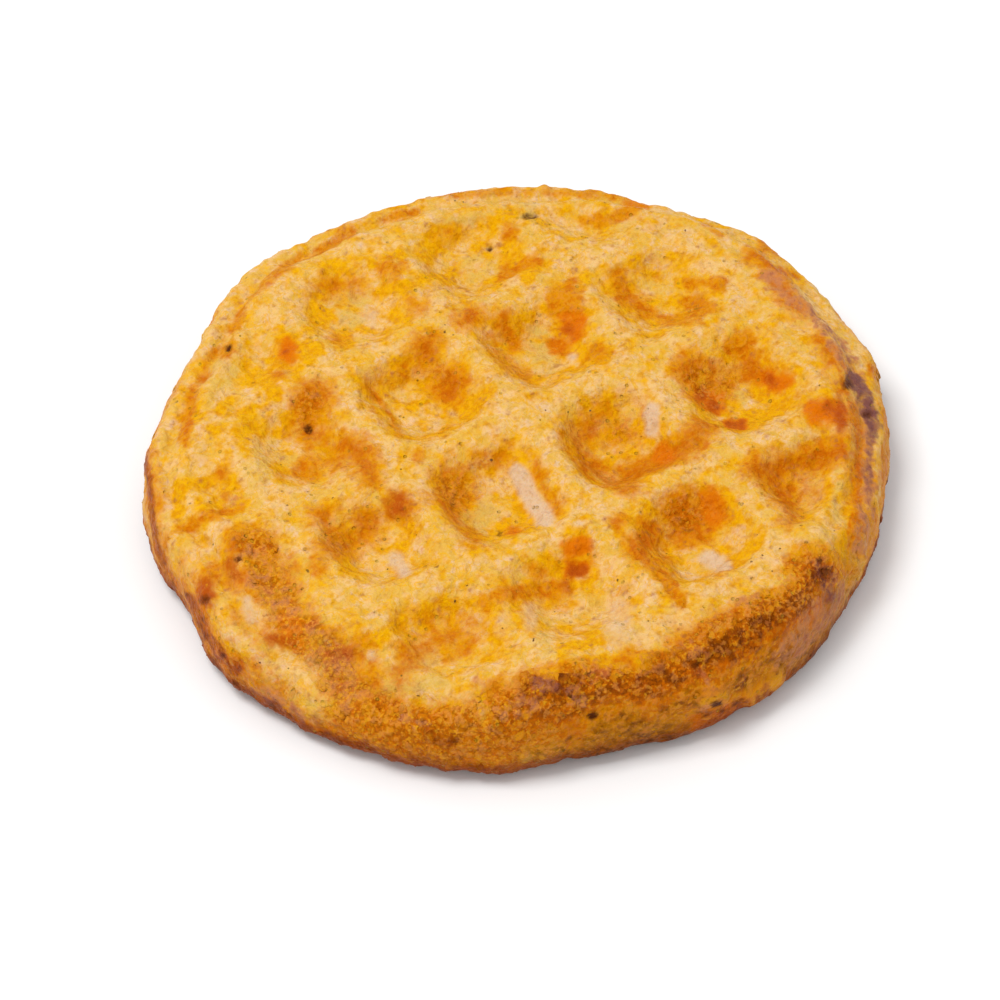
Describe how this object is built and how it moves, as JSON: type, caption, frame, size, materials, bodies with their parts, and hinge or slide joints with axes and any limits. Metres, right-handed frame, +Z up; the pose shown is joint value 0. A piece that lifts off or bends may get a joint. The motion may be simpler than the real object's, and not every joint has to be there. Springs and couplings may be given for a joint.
{
  "type": "potato waffle",
  "caption": "Round golden potato waffle with soft square pockets on both faces and a thick browned crust round its edge, lying flat.",
  "frame": {"origin": "middle of the waffle's box, on the surface that it rests on", "axes": "+Z up through the waffle's thickness, +X and +Y along its ridges"},
  "size_m": [0.1068, 0.101, 0.0153],
  "materials": {
    "golden_crust": "satin, slightly greasy baked crust, pale gold ridges and brown pockets and edge"
  },
  "bodies": {
    "root": {"waffle": "golden_crust"}
  },
  "joints": []
}
